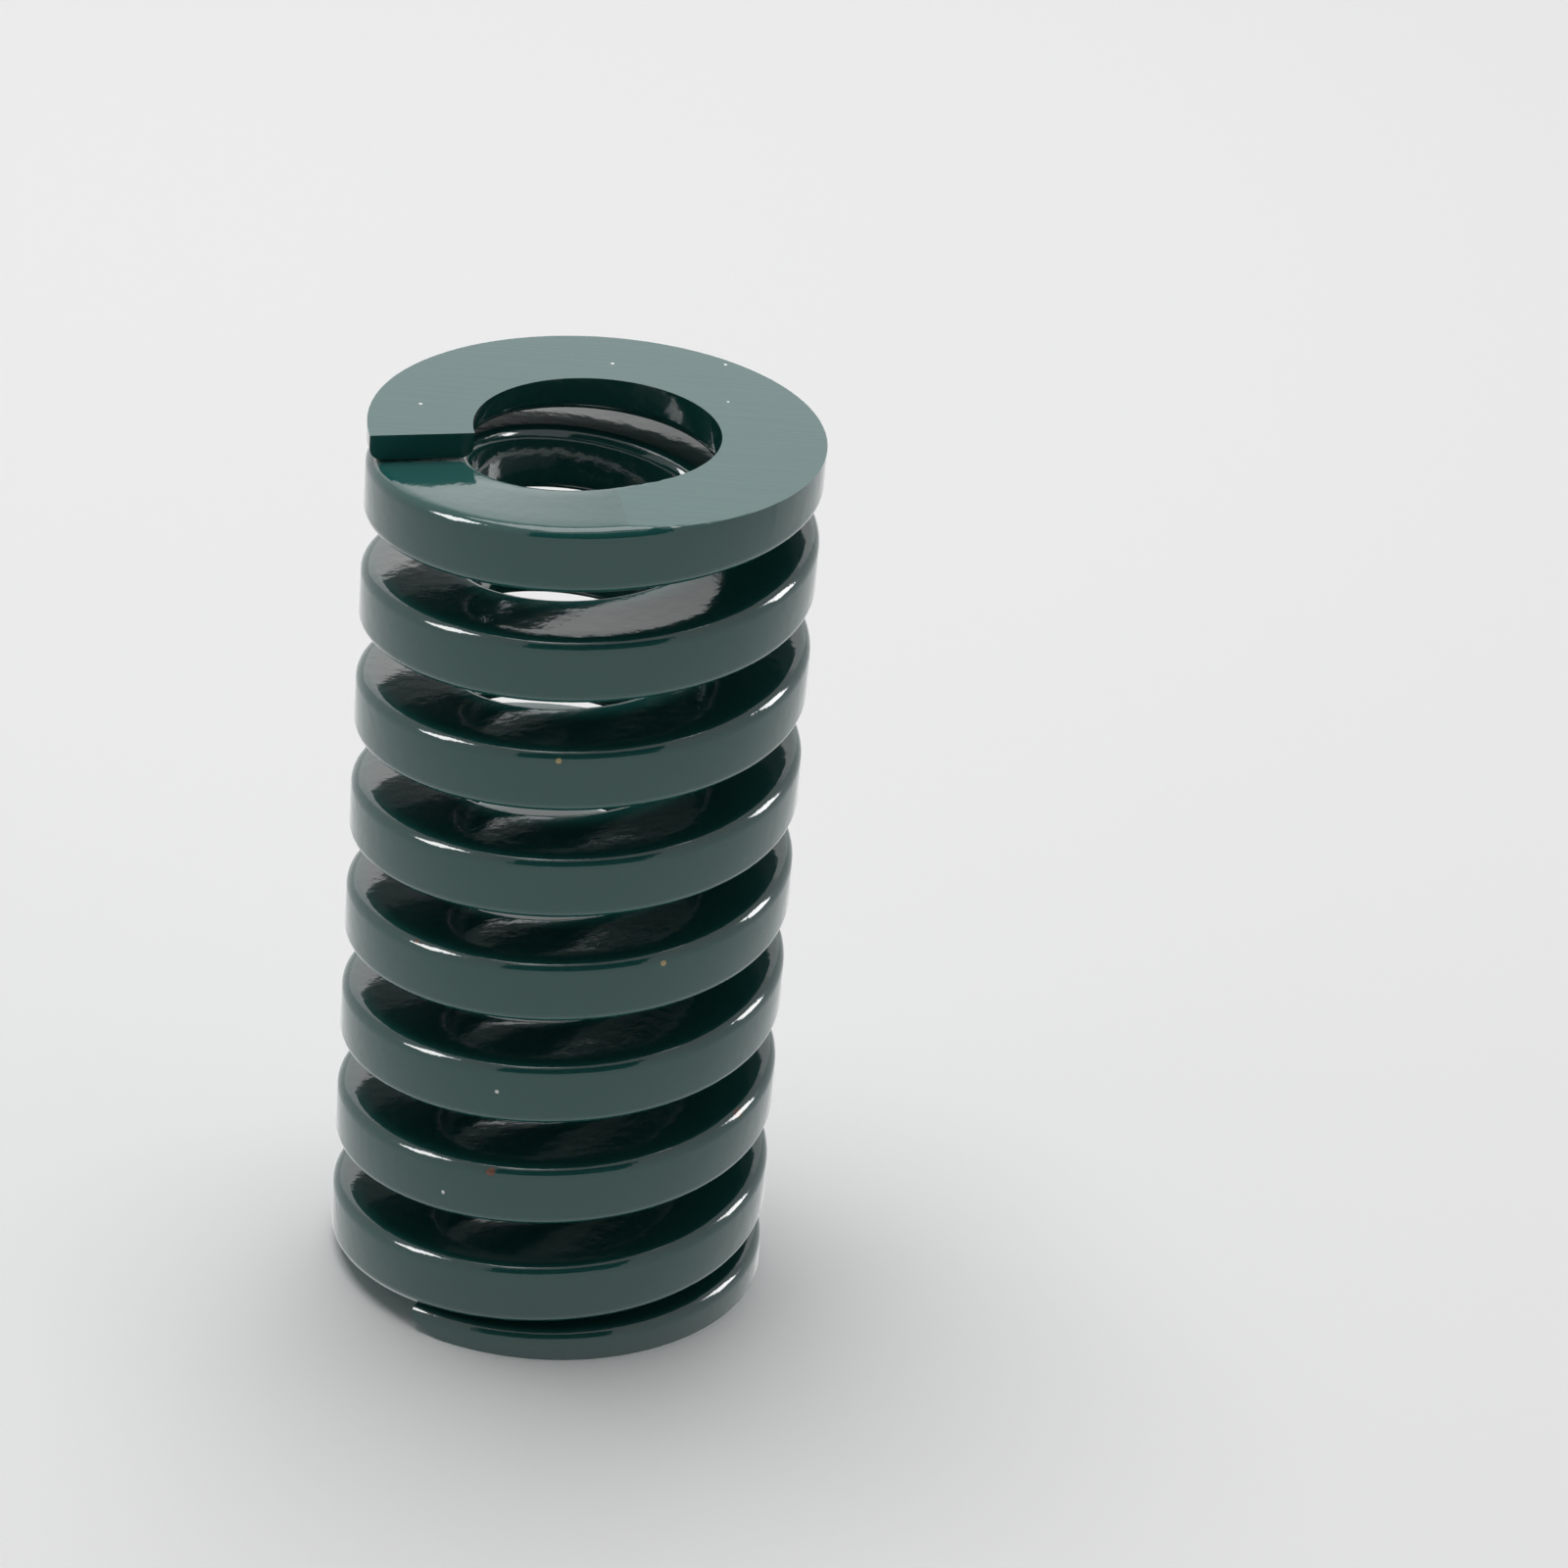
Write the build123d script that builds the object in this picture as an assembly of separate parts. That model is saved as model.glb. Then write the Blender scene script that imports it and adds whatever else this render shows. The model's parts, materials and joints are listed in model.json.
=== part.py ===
"""Die spring: one piece of rectangular wire, coiled right-hand, with closed and ground ends.

Millimetres. The spring stands on its bottom end, with its axis on +Z through the origin.
The wire starts at a tip on the bottom end and climbs anticlockwise, seen from above.
"""

import os
from math import atan2, ceil, cos, pi, radians, sin

from build123d import *

# Standard envelope: the pocket, the guide rod and the free length a die spring is sold by.
pocket_diameter = 25.0
pocket_clearance = 0.5
rod_diameter = 12.5
rod_clearance = 0.25
free_length = 50.0

# Wire section, as it lies in the coil: radial width follows from the two diameters.
wire_thickness = 3.65
corner_break = 0.5

# Winding, counted in turns of the whole wire from tip to tip.
total_turns = 8.885
first_tip_angle = -126.0
closing_turns = 0.62
blend_turns = 0.2

# Ends: the wire left at each ground tip, and the air between a tip and the coil next to it.
tip_thickness = 1.4
tip_gap = 0.1

# How finely the wire is built: stretches in a turn, sections in a stretch, points across a patch.
stretches_per_turn = 6
sections_per_stretch = 4
patch_points = 13
patch_accuracy = 1e-6
patch_degree = 8
margin = 0.6
joining_scale = 0.03

outer_radius = pocket_diameter / 2 - pocket_clearance
inner_radius = rod_diameter / 2 + rod_clearance
middle_radius = (outer_radius + inner_radius) / 2
half_thickness = wire_thickness / 2

# Both pitches follow from the free length and from the tip gap.
active_climb = free_length - 2 * tip_thickness - wire_thickness - 2 * tip_gap
active_pitch = active_climb / (total_turns - 2)
closing_climb = wire_thickness + tip_gap - active_pitch * (1 - closing_turns)
closing_pitch = closing_climb / closing_turns

stretch_count = ceil(total_turns * stretches_per_turn)
stretch_turns = total_turns / stretch_count


def climb_from_tip(turns):
    """Rise of the wire from one tip: the closing pitch, a smooth blend, then the active pitch."""
    blend_start = closing_turns - blend_turns
    blend_end = closing_turns + blend_turns
    if turns <= blend_start:
        return closing_pitch * turns
    if turns >= blend_end:
        return closing_climb + active_pitch * (turns - closing_turns)
    share = (turns - blend_start) / (blend_end - blend_start)
    extra_climb = (share**6 - 3 * share**5 + 2.5 * share**4) * (blend_end - blend_start)
    return closing_pitch * turns + (active_pitch - closing_pitch) * extra_climb


def wire_height(turns):
    """Height of the middle of the wire, the same from either end."""
    if turns <= total_turns / 2:
        return tip_thickness - half_thickness + climb_from_tip(turns)
    return free_length - tip_thickness + half_thickness - climb_from_tip(total_turns - turns)


def angle_at(turns):
    return first_tip_angle + 360 * turns


def coil_patch(start, end):
    """Smooth face along the underside of the wire, wider and longer than the stretch it serves."""
    half_angle = radians(180 * (end - start))
    near = inner_radius * cos(half_angle) - margin
    far = outer_radius + margin
    side = outer_radius * sin(half_angle) + margin
    middle = (start + end) / 2
    rows = []
    for i in range(patch_points):
        x = near + (far - near) * i / (patch_points - 1)
        row = []
        for j in range(patch_points):
            y = side * (2 * j / (patch_points - 1) - 1)
            height = wire_height(middle + atan2(y, x) / (2 * pi))
            row.append(Vector(x, y, height - half_thickness))
        rows.append(row)
    patch = Face.make_surface_from_array_of_points(
        rows,
        tol=patch_accuracy,
        min_deg=patch_degree,
        max_deg=patch_degree,
    )
    return patch.rotate(Axis.Z, angle_at(middle))


def broken_section(turns):
    """Six-sided section whose four slopes cut the wire's corners back by corner_break."""
    wall = half_thickness - corner_break
    peak = wall + (outer_radius - middle_radius)
    outline = [
        (inner_radius - margin, margin - wall),
        (middle_radius, -peak),
        (outer_radius + margin, margin - wall),
        (outer_radius + margin, wall - margin),
        (middle_radius, peak),
        (inner_radius - margin, wall - margin),
    ]
    angle = radians(angle_at(turns))
    height = wire_height(turns)
    points = [Vector(r * cos(angle), r * sin(angle), height + z) for r, z in outline]
    return Wire.make_polygon(points, close=True)


def corner_cutter(start, end):
    """Solid inside the four corner slopes, from just before the stretch to just after it."""
    step = (end - start) / sections_per_stretch
    places = [start + step * k for k in range(-1, sections_per_stretch + 2)]
    return Solid.make_loft([broken_section(turns) for turns in places])


def tube_sector(start, end):
    """The part of the spring's tube, from its base to its top, that one stretch lies in."""
    sweep = 360 * (end - start)
    outer = CenterArc((0, 0, 0), outer_radius, angle_at(start), sweep)
    inner = CenterArc((0, 0, 0), inner_radius, angle_at(start), sweep)
    sides = [Line(inner @ 0, outer @ 0), Line(inner @ 1, outer @ 1)]
    return Solid.extrude(Face(Wire([outer, inner] + sides)), Vector(0, 0, free_length))


def stretch(index):
    """One short stretch of wire, ground off where it would pass the base or the top."""
    start = index * stretch_turns
    end = start + stretch_turns
    slab = Solid.extrude(coil_patch(start, end), Vector(0, 0, wire_thickness))
    piece = slab.intersect(tube_sector(start, end)).solids()[0]
    return piece.intersect(corner_cutter(start, end)).solids()[0]


def faces_a_neighbour(face, index):
    """True for the cut face where a stretch meets the next or the last one."""
    for joint in (index, index + 1):
        if joint in (0, stretch_count):
            continue
        angle = radians(angle_at(joint * stretch_turns))
        along = Vector(-sin(angle), cos(angle), 0)
        square_on = abs(face.normal_at(face.center()).dot(along)) > 1 - 1e-6
        if square_on and abs(face.center().dot(along)) < 1e-3:
            return True
    return False


def skin(index):
    """Outer faces of one stretch, made small for joining."""
    small = scale(stretch(index), joining_scale)
    return [face for face in small.faces() if not faces_a_neighbour(face, index)]


def wound_wire():
    """All the stretches in one skin, joined while small so that edges a hair apart become one."""
    faces = []
    for index in range(stretch_count):
        faces.extend(skin(index))
    return scale(Solid(Shell(faces)), 1 / joining_scale)


os.makedirs("parts", exist_ok=True)
export_step(wound_wire(), "parts/die_spring.step")
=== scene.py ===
"""Die spring, enamelled green: the frame, the coiled wire, the floor, the light and the camera."""

import json
import math

import bmesh
import bpy
from mathutils import Matrix, Vector, noise


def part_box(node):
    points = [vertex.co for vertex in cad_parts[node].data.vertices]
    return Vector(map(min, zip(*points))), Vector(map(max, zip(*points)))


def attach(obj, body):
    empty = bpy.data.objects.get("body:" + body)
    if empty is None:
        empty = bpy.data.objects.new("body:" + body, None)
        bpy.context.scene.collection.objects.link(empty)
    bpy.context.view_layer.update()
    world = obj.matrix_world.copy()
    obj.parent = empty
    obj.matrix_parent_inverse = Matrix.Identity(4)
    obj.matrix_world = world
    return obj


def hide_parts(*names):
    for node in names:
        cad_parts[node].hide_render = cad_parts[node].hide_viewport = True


# Scene and frame
scene = bpy.context.scene
scene.view_settings.view_transform = "Standard"
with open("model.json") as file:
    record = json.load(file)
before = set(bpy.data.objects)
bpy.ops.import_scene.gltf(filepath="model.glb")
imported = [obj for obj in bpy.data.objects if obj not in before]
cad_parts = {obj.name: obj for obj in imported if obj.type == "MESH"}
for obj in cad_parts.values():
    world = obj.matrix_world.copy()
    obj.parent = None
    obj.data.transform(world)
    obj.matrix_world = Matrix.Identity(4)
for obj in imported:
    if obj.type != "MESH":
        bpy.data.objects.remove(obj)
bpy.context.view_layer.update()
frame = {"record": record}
MM = 0.001

# Coiled wire
# A right-hand coil of rectangular spring wire with rounded corners. Both end coils are closed
# against their neighbours and ground flat, which leaves a thin tip at each end.
spring_low, spring_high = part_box("die_spring")
spring_mounts = {mount["name"]: mount for mount in frame["record"]["mounts"]}
spring_length = spring_high[2] - spring_low[2]
spring_outer = (spring_high[0] - spring_low[0]) / 2
spring_inner = spring_mounts["guide_bore"]["dims"]["r_mm"] * MM
wire_thickness = 3.65 * MM
wire_corner = 0.7 * MM
coil_turns = 8.885
coil_first_angle = math.radians(-126)
closing_turns = 0.62
blend_turns = 0.2
tip_thickness = 1.4 * MM
tip_gap = 0.1 * MM
tip_bevel_height = 0.8 * MM
tip_bevel_turns = 0.025
drift_height = 0.07 * MM
drift_frequency = 1.3
drift_free_turns = 1.0
drift_fade_turns = 0.8
coil_stations = 1640
corner_steps = 7
flat_steps = 5
crease_angle = math.radians(24)
ground_depth = 1e-7
half_wire = wire_thickness / 2
active_climb = spring_length - 2 * tip_thickness - wire_thickness - 2 * tip_gap
active_pitch = active_climb / (coil_turns - 2)
closing_climb = wire_thickness + tip_gap - active_pitch * (1 - closing_turns)
closing_pitch = closing_climb / closing_turns


def climb_from_tip(turns):
    """Rise of the wire from one tip, as it is wound: closing pitch, blend, active pitch."""
    blend_start = closing_turns - blend_turns
    if turns <= blend_start:
        return closing_pitch * turns
    if turns >= closing_turns + blend_turns:
        return closing_climb + active_pitch * (turns - closing_turns)
    share = (turns - blend_start) / (2 * blend_turns)
    extra = (share**6 - 3 * share**5 + 2.5 * share**4) * 2 * blend_turns
    return closing_pitch * turns + (active_pitch - closing_pitch) * extra


def wire_height(turns):
    """Height of the middle of the wire."""
    if turns <= coil_turns / 2:
        return tip_thickness - half_wire + climb_from_tip(turns)
    return spring_length - tip_thickness + half_wire - climb_from_tip(coil_turns - turns)


def wire_outline():
    """Rounded rectangle about the wire's middle, anticlockwise from the inner underside."""
    middle = (spring_inner + spring_outer) / 2
    half_width = (spring_outer - spring_inner) / 2
    across = half_width - wire_corner
    up = half_wire - wire_corner
    outline = []
    corners = [(-across, -up), (across, -up), (across, up), (-across, up)]
    for side, (x, z) in enumerate(corners):
        for step in range(corner_steps + 1):
            angle = math.pi + (side + step / corner_steps) * math.pi / 2
            along = wire_corner * math.cos(angle)
            above = wire_corner * math.sin(angle)
            outline.append((x + along, z + above))
        if side in (0, 2):
            flat_height = z + math.copysign(wire_corner, z)
            for step in range(1, flat_steps):
                outline.append((x + (-2 * x) * step / flat_steps, flat_height))
    return [(middle + x, z) for x, z in outline]


def low_limit(turns):
    """Underside left by grinding, with the lead-in filed under the first tip."""
    return tip_bevel_height * max(0.0, 1 - turns / tip_bevel_turns)


def winding_drift(turns):
    """The slight unevenness of a wound coil, fading out to nothing at the ground ends."""
    from_end = min(turns, coil_turns - turns)
    fade = min(1.0, max(0.0, (from_end - drift_free_turns) / drift_fade_turns))
    place = Vector((turns * drift_frequency, 4.7, 1.9))
    return fade * drift_height * noise.noise(place)


def wind_spring():
    """The whole coil as one closed skin."""
    outline = wire_outline()
    mesh = bmesh.new()
    rings = []
    for station in range(coil_stations + 1):
        turns = coil_turns * station / coil_stations
        angle = coil_first_angle + turns * math.tau
        height = wire_height(turns) + winding_drift(turns)
        floor_cut = low_limit(turns)
        ring = []
        for radius, z in outline:
            x = radius * math.cos(angle)
            y = radius * math.sin(angle)
            z = min(max(height + z, floor_cut), spring_length)
            ring.append(mesh.verts.new((x, y, z)))
        rings.append(ring)
    for near, far in zip(rings, rings[1:]):
        for k in range(len(near)):
            after = (k + 1) % len(near)
            mesh.faces.new((near[k], near[after], far[after], far[k]))
    mesh.faces.new(rings[0][::-1])
    mesh.faces.new(rings[-1])
    bmesh.ops.recalc_face_normals(mesh, faces=mesh.faces)
    for face in mesh.faces:
        face.smooth = True
        heights = [vert.co.z for vert in face.verts]
        on_top_end = min(heights) > spring_length - ground_depth
        on_bottom_end = max(heights) < ground_depth
        if on_top_end or on_bottom_end:
            face.material_index = 1
    for edge in mesh.edges:
        edge.smooth = edge.is_manifold and edge.calc_face_angle() < crease_angle
    data = bpy.data.meshes.new("die_spring_wire")
    mesh.to_mesh(data)
    mesh.free()
    wire = bpy.data.objects.new("die_spring_wire", data)
    scene.collection.objects.link(wire)
    return wire


spring = wind_spring()


# Green enamel on the wire
# A glossy, dip-coated enamel: nearly black-green where it reflects nothing, a little uneven, with
# small chips that show rust, and specks of dust.
enamel = bpy.data.materials.new("green_enamel")
enamel.use_nodes = True
enamel_tree = enamel.node_tree
enamel_shader = enamel_tree.nodes["Principled BSDF"]
enamel_shader.inputs["Base Color"].default_value = (0.014, 0.088, 0.08, 1)
enamel_shader.inputs["Roughness"].default_value = 0.09
enamel_shader.inputs["IOR"].default_value = 1.5


def node(tree, kind, **settings):
    """A new shader node with the given settings."""
    made = tree.nodes.new(kind)
    for name, value in settings.items():
        setattr(made, name, value)
    return made


def spot_mask(tree, place, centre, radius, ragged, raggedness):
    """1 inside a ragged spot of the spring's surface, 0 outside it."""
    distance = node(tree, "ShaderNodeVectorMath", operation="DISTANCE")
    distance.inputs[1].default_value = centre
    tree.links.new(place, distance.inputs[0])
    edge = node(tree, "ShaderNodeMath", operation="MULTIPLY_ADD")
    edge.inputs[1].default_value = raggedness
    tree.links.new(ragged, edge.inputs[0])
    tree.links.new(distance.outputs["Value"], edge.inputs[2])
    inside = node(tree, "ShaderNodeMath", operation="LESS_THAN")
    inside.inputs[1].default_value = radius
    tree.links.new(edge.outputs[0], inside.inputs[0])
    return inside.outputs[0]


def on_outside(degrees, height_mm):
    """A point on the outside of the coil."""
    angle = math.radians(degrees)
    return (spring_outer * math.cos(angle), spring_outer * math.sin(angle), height_mm * MM)


def on_top(degrees, radius_mm):
    """A point on the top ground face."""
    angle = math.radians(degrees)
    return (radius_mm * MM * math.cos(angle), radius_mm * MM * math.sin(angle), spring_length)


def any_spot(tree, place, spots, ragged, raggedness):
    """1 inside any of the spots."""
    total = None
    for centre, radius in spots:
        mask = spot_mask(tree, place, centre, radius, ragged, raggedness)
        if total is None:
            total = mask
            continue
        both = node(tree, "ShaderNodeMath", operation="MAXIMUM")
        tree.links.new(total, both.inputs[0])
        tree.links.new(mask, both.inputs[1])
        total = both.outputs[0]
    return total


def paint_over(tree, shader, below, mask, colour):
    """Colour where the mask is 1, over the colour below."""
    mix = node(tree, "ShaderNodeMix", data_type="RGBA")
    mix.inputs["A"].default_value = shader.inputs["Base Color"].default_value
    if below:
        tree.links.new(below, mix.inputs["A"])
    mix.inputs["B"].default_value = colour
    tree.links.new(mask, mix.inputs["Factor"])
    return mix.outputs["Result"]


enamel_place = node(enamel_tree, "ShaderNodeTexCoord").outputs["Object"]
enamel_ragged = node(enamel_tree, "ShaderNodeTexNoise")
enamel_ragged.inputs["Scale"].default_value = 2600
enamel_ragged.inputs["Detail"].default_value = 3
enamel_tree.links.new(enamel_place, enamel_ragged.inputs["Vector"])
rust_spots = [
    (on_outside(-131.1, 24.0), 0.52 * MM),
    (on_outside(-32.0, 13.1), 0.62 * MM),
    (on_outside(-105.3, 11.5), 0.45 * MM),
]
straw_spots = [
    (on_outside(-87.1, 43.6), 0.27 * MM),
    (on_outside(-94.3, 36.7), 0.24 * MM),
    (on_outside(-72.0, 31.4), 0.27 * MM),
    (on_outside(-64.0, 24.5), 0.24 * MM),
]
dust_spots = [
    (on_outside(-104.8, 16.5), 0.17 * MM),
    (on_outside(-118.0, 9.4), 0.16 * MM),
]
enamel_spots = [
    (rust_spots, 0.35 * MM, (0.16, 0.055, 0.022, 1)),
    (straw_spots, 0.15 * MM, (0.42, 0.33, 0.14, 1)),
    (dust_spots, 0.12 * MM, (0.75, 0.78, 0.75, 1)),
]
enamel_edges = enamel_ragged.outputs[0]
enamel_colour = None
for spots, raggedness, colour in enamel_spots:
    mask = any_spot(enamel_tree, enamel_place, spots, enamel_edges, raggedness)
    enamel_colour = paint_over(enamel_tree, enamel_shader, enamel_colour, mask, colour)
enamel_tree.links.new(enamel_colour, enamel_shader.inputs["Base Color"])
enamel_waves = node(enamel_tree, "ShaderNodeTexNoise")
enamel_waves.inputs["Scale"].default_value = 1300
enamel_waves.inputs["Detail"].default_value = 2.5
enamel_tree.links.new(enamel_place, enamel_waves.inputs["Vector"])
enamel_bump = node(enamel_tree, "ShaderNodeBump")
enamel_bump.inputs["Strength"].default_value = 0.5
enamel_bump.inputs["Distance"].default_value = 0.035 * MM
enamel_tree.links.new(enamel_waves.outputs[0], enamel_bump.inputs["Height"])
enamel_tree.links.new(enamel_bump.outputs["Normal"], enamel_shader.inputs["Normal"])

# Ground ends
# The wheel leaves fine parallel lines, which show through a thin, paler coat of the same green.
ground = bpy.data.materials.new("ground_end")
ground.use_nodes = True
ground_tree = ground.node_tree
ground_shader = ground_tree.nodes["Principled BSDF"]
ground_shader.inputs["Base Color"].default_value = (0.018, 0.098, 0.093, 1)
ground_shader.inputs["Roughness"].default_value = 0.2
ground_place = node(ground_tree, "ShaderNodeTexCoord").outputs["Object"]
ground_stretch = node(ground_tree, "ShaderNodeMapping")
ground_stretch.inputs["Rotation"].default_value = (0, 0, math.radians(12))
ground_stretch.inputs["Scale"].default_value = (120, 5200, 120)
ground_tree.links.new(ground_place, ground_stretch.inputs["Vector"])
ground_lines = node(ground_tree, "ShaderNodeTexNoise")
ground_lines.inputs["Scale"].default_value = 1
ground_lines.inputs["Detail"].default_value = 3
ground_tree.links.new(ground_stretch.outputs[0], ground_lines.inputs["Vector"])
ground_ragged = node(ground_tree, "ShaderNodeTexNoise")
ground_ragged.inputs["Scale"].default_value = 2600
ground_tree.links.new(ground_place, ground_ragged.inputs["Vector"])
ground_tint = node(ground_tree, "ShaderNodeMapRange")
ground_tint.inputs["From Min"].default_value = 0.3
ground_tint.inputs["From Max"].default_value = 0.7
ground_tree.links.new(ground_lines.outputs[0], ground_tint.inputs["Value"])
ground_worn = (0.028, 0.118, 0.111, 1)
ground_worn_share = ground_tint.outputs[0]
ground_colour = paint_over(ground_tree, ground_shader, None, ground_worn_share, ground_worn)
speck_spots = [
    (on_top(169.2, 9.5), 0.16 * MM),
    (on_top(86.3, 8.6), 0.15 * MM),
    (on_top(55.1, 11.5), 0.15 * MM),
    (on_top(34.4, 8.2), 0.13 * MM),
]
speck_edges = ground_ragged.outputs[0]
speck_white = (0.85, 0.88, 0.86, 1)
speck_mask = any_spot(ground_tree, ground_place, speck_spots, speck_edges, 0.1 * MM)
ground_colour = paint_over(ground_tree, ground_shader, ground_colour, speck_mask, speck_white)
ground_tree.links.new(ground_colour, ground_shader.inputs["Base Color"])
ground_bump = node(ground_tree, "ShaderNodeBump")
ground_bump.inputs["Strength"].default_value = 0.3
ground_bump.inputs["Distance"].default_value = 0.02 * MM
ground_tree.links.new(ground_lines.outputs[0], ground_bump.inputs["Height"])
ground_tree.links.new(ground_bump.outputs["Normal"], ground_shader.inputs["Normal"])

spring.data.materials.append(enamel)
spring.data.materials.append(ground)
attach(spring, "root")
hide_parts("die_spring")

# Floor
# A plain pale table top, which keeps the spring's soft shadow.
# Glossy rays see it plain white, so the enamel shows a white surround.
pale = bpy.data.materials.new("pale_surface")
pale.use_nodes = True
pale_tree = pale.node_tree
pale_shader = pale_tree.nodes["Principled BSDF"]
pale_shader.inputs["Base Color"].default_value = (0.9, 0.9, 0.9, 1)
pale_shader.inputs["Roughness"].default_value = 0.9
pale_shader.inputs["Specular IOR Level"].default_value = 0.1

pale_rays = node(pale_tree, "ShaderNodeLightPath")
pale_white = node(pale_tree, "ShaderNodeEmission")
pale_mix = node(pale_tree, "ShaderNodeMixShader")
pale_output = pale_tree.nodes["Material Output"]
pale_tree.links.new(pale_rays.outputs["Is Glossy Ray"], pale_mix.inputs[0])
pale_tree.links.new(pale_shader.outputs[0], pale_mix.inputs[1])
pale_tree.links.new(pale_white.outputs[0], pale_mix.inputs[2])
pale_tree.links.new(pale_mix.outputs[0], pale_output.inputs["Surface"])


def flat_sheet(name, corners, surface):
    """A flat four-cornered sheet, which isn't part of the spring."""
    mesh = bmesh.new()
    mesh.faces.new([mesh.verts.new(corner) for corner in corners])
    data = bpy.data.meshes.new(name)
    mesh.to_mesh(data)
    mesh.free()
    data.materials.append(surface)
    sheet = bpy.data.objects.new(name, data)
    scene.collection.objects.link(sheet)
    return sheet


floor_z = spring_low[2] - 0.02 * MM
floor_corners = [(-3, -3, floor_z), (3, -3, floor_z), (3, 3, floor_z), (-3, 3, floor_z)]
flat_sheet("floor", floor_corners, pale)

# Dark card
# A dark card above and behind the camera, for the dark line along the coils' upper corners.
card_dark = bpy.data.materials.new("dark_card")
card_dark.use_nodes = True
card_shader = card_dark.node_tree.nodes["Principled BSDF"]
card_shader.inputs["Base Color"].default_value = (0.02, 0.02, 0.02, 1)
card_shader.inputs["Roughness"].default_value = 1
card_corners = [(-0.5, -0.75, 0.32), (0.5, -0.75, 0.32), (0.5, -0.45, 1.0), (-0.5, -0.45, 1.0)]
flat_sheet("card", card_corners, card_dark)

# Light
# Large soft lamps overhead and behind, two small ones for the glints at the sides, a pale room.
world = bpy.data.worlds.new("room")
scene.world = world
world.use_nodes = True
world_tree = world.node_tree
world_background = world_tree.nodes["Background"]
world_background.inputs["Color"].default_value = (1, 1, 1, 1)
world_rays = node(world_tree, "ShaderNodeLightPath")
world_level = node(world_tree, "ShaderNodeMapRange")
world_level.inputs["To Min"].default_value = 0.26
world_level.inputs["To Max"].default_value = 1.0
world_seen = node(world_tree, "ShaderNodeMath", operation="MAXIMUM")
world_tree.links.new(world_rays.outputs["Is Camera Ray"], world_seen.inputs[0])
world_tree.links.new(world_rays.outputs["Is Glossy Ray"], world_seen.inputs[1])
world_tree.links.new(world_seen.outputs[0], world_level.inputs["Value"])
world_tree.links.new(world_level.outputs[0], world_background.inputs["Strength"])


def soft_lamp(name, place, aim, width, height, power):
    """A rectangular lamp at a place, turned towards an aim point."""
    data = bpy.data.lights.new(name, "AREA")
    data.shape = "RECTANGLE"
    data.size = width
    data.size_y = height
    data.energy = power
    lamp = bpy.data.objects.new(name, data)
    lamp.location = place
    lamp.rotation_euler = (Vector(aim) - Vector(place)).to_track_quat("-Z", "Y").to_euler()
    scene.collection.objects.link(lamp)
    return lamp


spring_middle = (0, 0, spring_length / 2)
soft_lamp("lamp_overhead", (-0.05, 0.12, 0.6), spring_middle, 0.5, 0.4, 2.7)
soft_lamp("lamp_back", (0, 0.8, 0.45), spring_middle, 1.2, 0.5, 1.1)
lamp_left = soft_lamp("lamp_left", (-0.5, -0.05, 0.38), spring_middle, 0.16, 0.26, 2.4)
lamp_right = soft_lamp("lamp_right", (0.5, 0.16, 0.28), spring_middle, 0.16, 0.22, 1.9)
for lamp in (lamp_left, lamp_right):
    lamp.visible_diffuse = False

# Camera
# Looks down on the spring from the front, at the viewing angle of a hand-held close-up.
camera_pitch = math.radians(27.9488)
camera_yaw = math.radians(2.2989)
camera_roll = math.radians(-4.80506)
camera_data = bpy.data.cameras.new("camera")
camera_data.sensor_width = 36
camera_data.lens = 135.17
camera_data.clip_start = 0.01
camera_data.dof.use_dof = False
camera = bpy.data.objects.new("camera", camera_data)
forward = Vector(
    (
        math.sin(camera_yaw) * math.cos(camera_pitch),
        math.cos(camera_yaw) * math.cos(camera_pitch),
        -math.sin(camera_pitch),
    )
)
level = forward.cross(Vector((0, 0, 1))).normalized()
below = forward.cross(level)
right = level * math.cos(camera_roll) + below * math.sin(camera_roll)
down = below * math.cos(camera_roll) - level * math.sin(camera_roll)
turn = Matrix((right, -down, -forward)).transposed()
camera_place = (0, -279.30 * MM, 178.18 * MM)
camera.matrix_world = Matrix.Translation(camera_place) @ turn.to_4x4()
scene.collection.objects.link(camera)
scene.camera = camera
